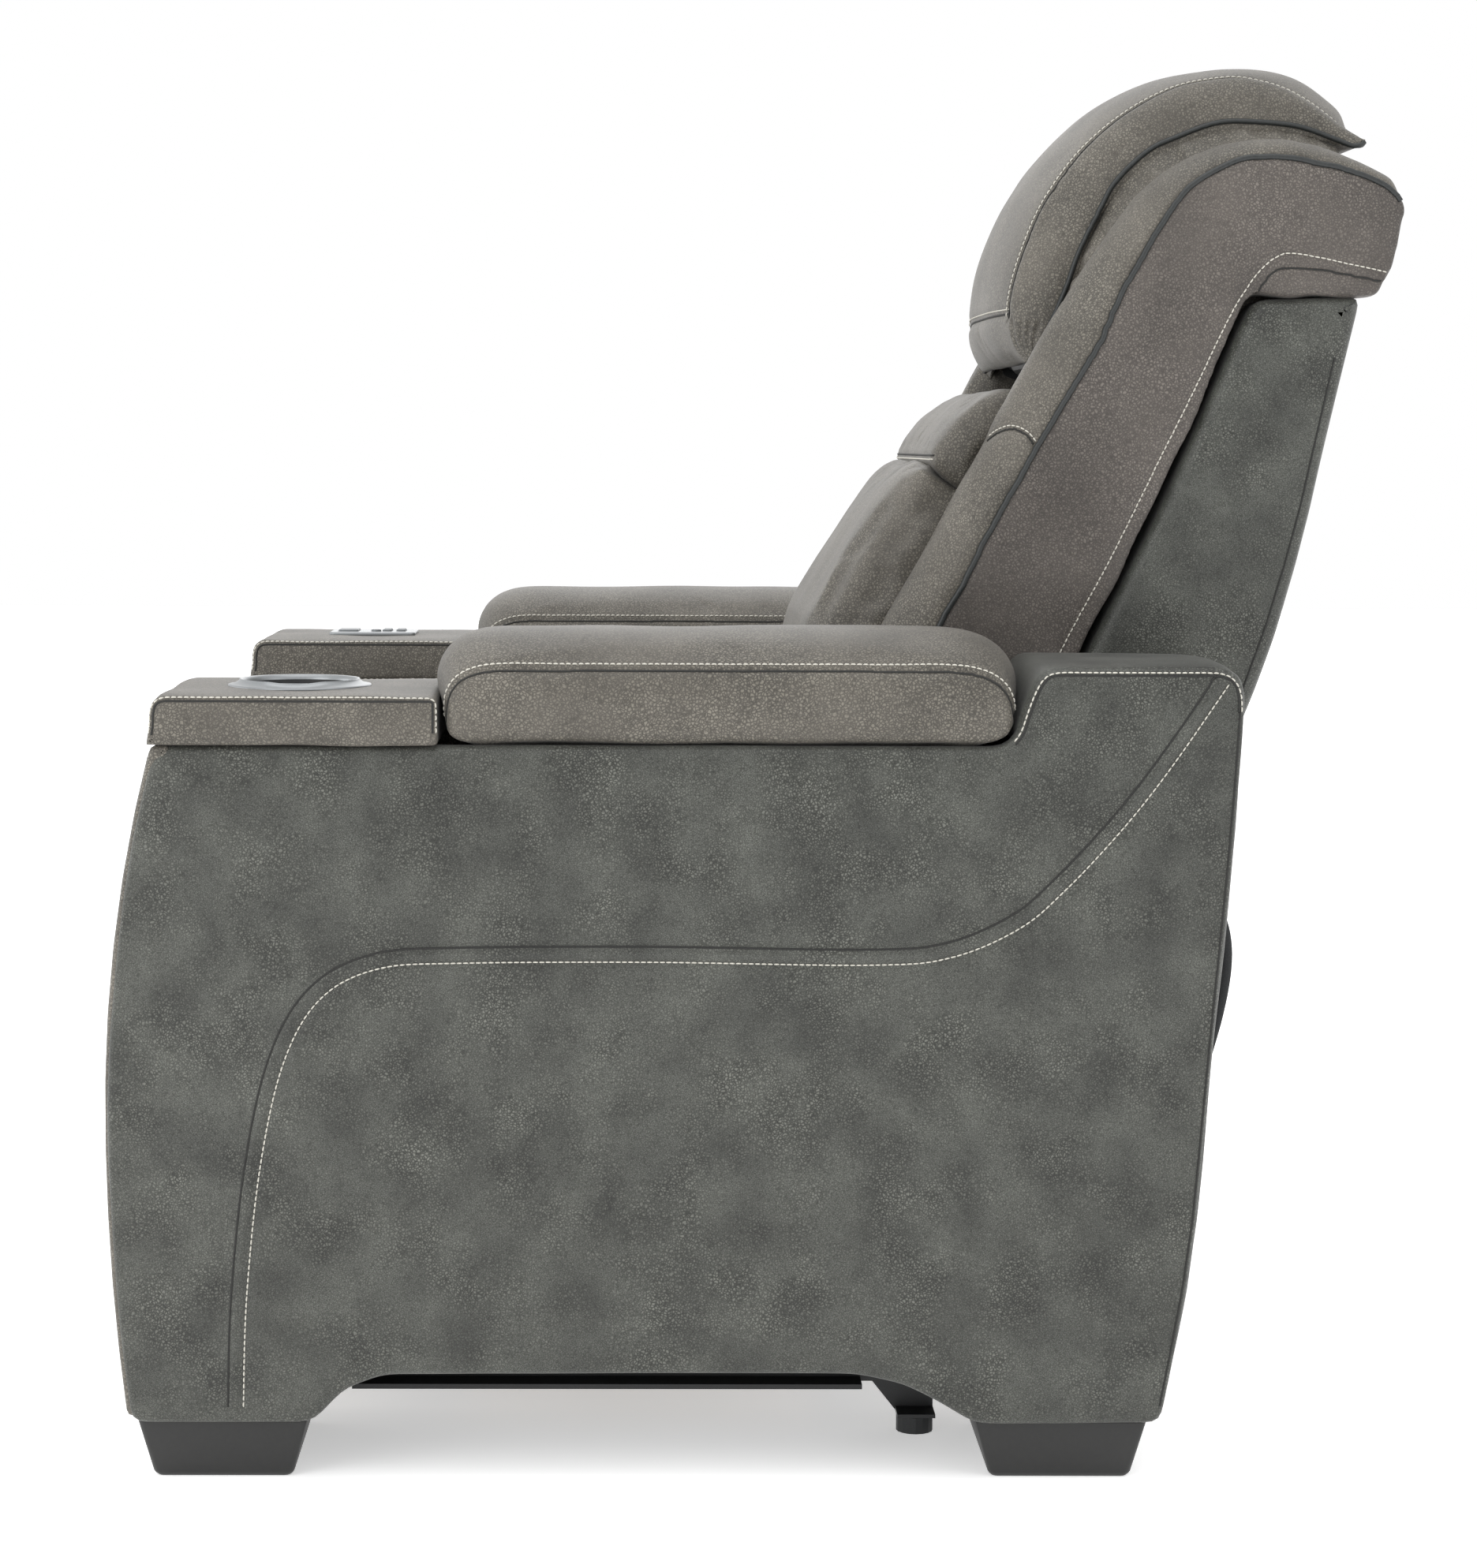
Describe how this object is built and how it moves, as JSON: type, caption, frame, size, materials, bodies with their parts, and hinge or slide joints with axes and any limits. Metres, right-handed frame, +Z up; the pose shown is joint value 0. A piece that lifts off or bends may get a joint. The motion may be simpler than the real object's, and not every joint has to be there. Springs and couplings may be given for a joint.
{
  "type": "recliner armchair",
  "caption": "Upholstered power recliner armchair with reclining back, folding footrest, tilting headrest, lift-up arm pads, cup holder and switch panel.",
  "frame": {"origin": "on the floor, at the middle of the chair's footprint", "axes": "+Z up, the sitter faces -Y, +X is the sitter's left-hand side"},
  "size_m": [0.975, 1.0531, 1.1428],
  "materials": {
    "taupe_leather": "matte",
    "taupe_side_leather": "matte",
    "dark_leather": "matte",
    "foot_finish": "satin",
    "black_steel": "satin",
    "frame_board": "matte",
    "silver_plastic": "satin",
    "black_plastic": "matte",
    "button_plastic": "satin",
    "bin_lining": "matte"
  },
  "bodies": {
    "base": {"arm_outer_panel_left": "dark_leather", "arm_inner_panel_left": "taupe_leather", "arm_front_panel_left": "taupe_leather", "arm_rear_post_left": "dark_leather", "storage_bin_left": "bin_lining", "console_block_left": "taupe_leather", "front_foot_left": "foot_finish", "rear_foot_left": "foot_finish", "base_rail_left": "black_steel", "glide_foot_left": "black_plastic", "arm_outer_panel_right": "dark_leather", "arm_inner_panel_right": "taupe_leather", "arm_front_panel_right": "taupe_leather", "arm_rear_post_right": "dark_leather", "storage_bin_right": "bin_lining", "console_block_right": "taupe_leather", "front_foot_right": "foot_finish", "rear_foot_right": "foot_finish", "base_rail_right": "black_steel", "glide_foot_right": "black_plastic", "front_cross_frame": "black_steel", "rear_cross_frame": "black_steel", "cup_holder": "silver_plastic", "control_panel": "silver_plastic", "control_housing": "black_plastic", "recline_motor": "black_plastic", "power_inlet": "black_plastic"},
    "seat": {"seat_plate_left": "black_steel", "seat_plate_right": "black_steel", "seat_deck": "frame_board", "seat_cushion": "taupe_leather", "actuator_rod": "black_steel"},
    "back": {"back_frame": "frame_board", "back_shell": "dark_leather", "back_wing_left": "taupe_side_leather", "back_wing_right": "taupe_side_leather", "lumbar_cushion": "taupe_leather", "shoulder_cushion": "taupe_leather", "top_roll": "taupe_leather", "headrest_motor": "black_plastic", "rear_flap": "dark_leather"},
    "headrest": {"headrest_cushion": "taupe_leather", "headrest_frame": "black_steel"},
    "upper_links": {"upper_link_left": "black_steel", "upper_link_right": "black_steel", "torque_tube": "black_steel"},
    "lower_links": {"lower_link_left": "black_steel", "lower_link_right": "black_steel"},
    "footrest": {"footrest_board": "frame_board", "footrest_pad": "taupe_leather"},
    "arm_lid_left": {"arm_pad_left": "taupe_leather", "lid_board_left": "bin_lining"},
    "arm_lid_right": {"arm_pad_right": "taupe_leather", "lid_board_right": "bin_lining"},
    "recline_rocker": {"recline_rocker": "button_plastic"},
    "home_button": {"home_button": "button_plastic"},
    "footrest_open_button": {"footrest_open_button": "button_plastic"},
    "footrest_close_button": {"footrest_close_button": "button_plastic"},
    "headrest_forward_button": {"headrest_forward_button": "button_plastic"},
    "headrest_back_button": {"headrest_back_button": "button_plastic"}
  },
  "joints": [
    {"name": "recline", "type": "hinge", "parent": "seat", "child": "back", "pos_m": [0, 0.17, 0.25], "axis": [-1, 0, 0], "range_deg": [0, 35]},
    {"name": "seat_slide", "type": "slide", "parent": "base", "child": "seat", "axis": [0, -1, 0], "range_m": [0, 0.08]},
    {"name": "headrest_tilt", "type": "hinge", "parent": "back", "child": "headrest", "pos_m": [0, 0.25, 0.885], "axis": [1, 0, 0], "range_deg": [0, 35]},
    {"name": "footrest_fold", "type": "hinge", "parent": "seat", "child": "upper_links", "pos_m": [0, -0.38, 0.316], "axis": [-1, 0, 0], "range_deg": [0, 110]},
    {"name": "footrest_elbow", "type": "hinge", "parent": "upper_links", "child": "lower_links", "pos_m": [0, -0.3418, 0.09934], "axis": [1, 0, 0], "range_deg": [0, 177]},
    {"name": "footrest_ankle", "type": "hinge", "parent": "lower_links", "child": "footrest", "pos_m": [0, -0.42846, 0.30155], "axis": [-1, 0, 0], "range_deg": [0, 157]},
    {"name": "arm_lid_left_hinge", "type": "hinge", "parent": "base", "child": "arm_lid_left", "pos_m": [0.4875, 0, 0.5746], "axis": [0, 1, 0], "range_deg": [0, 95]},
    {"name": "arm_lid_right_hinge", "type": "hinge", "parent": "base", "child": "arm_lid_right", "pos_m": [-0.4875, 0, 0.5746], "axis": [0, -1, 0], "range_deg": [0, 95]},
    {"name": "recline_rocker_tilt", "type": "hinge", "parent": "base", "child": "recline_rocker", "pos_m": [-0.38, -0.405, 0.6123], "axis": [0, 1, 0], "range_deg": [-4, 4], "stiffness_Nm_per_rad": 0.2},
    {"name": "home_button_press", "type": "slide", "parent": "base", "child": "home_button", "axis": [0, 0, -1], "range_m": [0, 0.0015], "stiffness_N_per_m": 400},
    {"name": "footrest_open_button_press", "type": "slide", "parent": "base", "child": "footrest_open_button", "axis": [0, 0, -1], "range_m": [0, 0.0015], "stiffness_N_per_m": 400},
    {"name": "footrest_close_button_press", "type": "slide", "parent": "base", "child": "footrest_close_button", "axis": [0, 0, -1], "range_m": [0, 0.0015], "stiffness_N_per_m": 400},
    {"name": "headrest_forward_button_press", "type": "slide", "parent": "base", "child": "headrest_forward_button", "axis": [0, 0, -1], "range_m": [0, 0.0015], "stiffness_N_per_m": 400},
    {"name": "headrest_back_button_press", "type": "slide", "parent": "base", "child": "headrest_back_button", "axis": [0, 0, -1], "range_m": [0, 0.0015], "stiffness_N_per_m": 400}
  ],
  "couplings": [
    {"joint": "seat_slide", "follows": "recline", "m_per_rad": 0.1309},
    {"joint": "footrest_elbow", "follows": "footrest_fold", "ratio": 1.6073},
    {"joint": "footrest_ankle", "follows": "footrest_fold", "ratio": 1.4255}
  ]
}
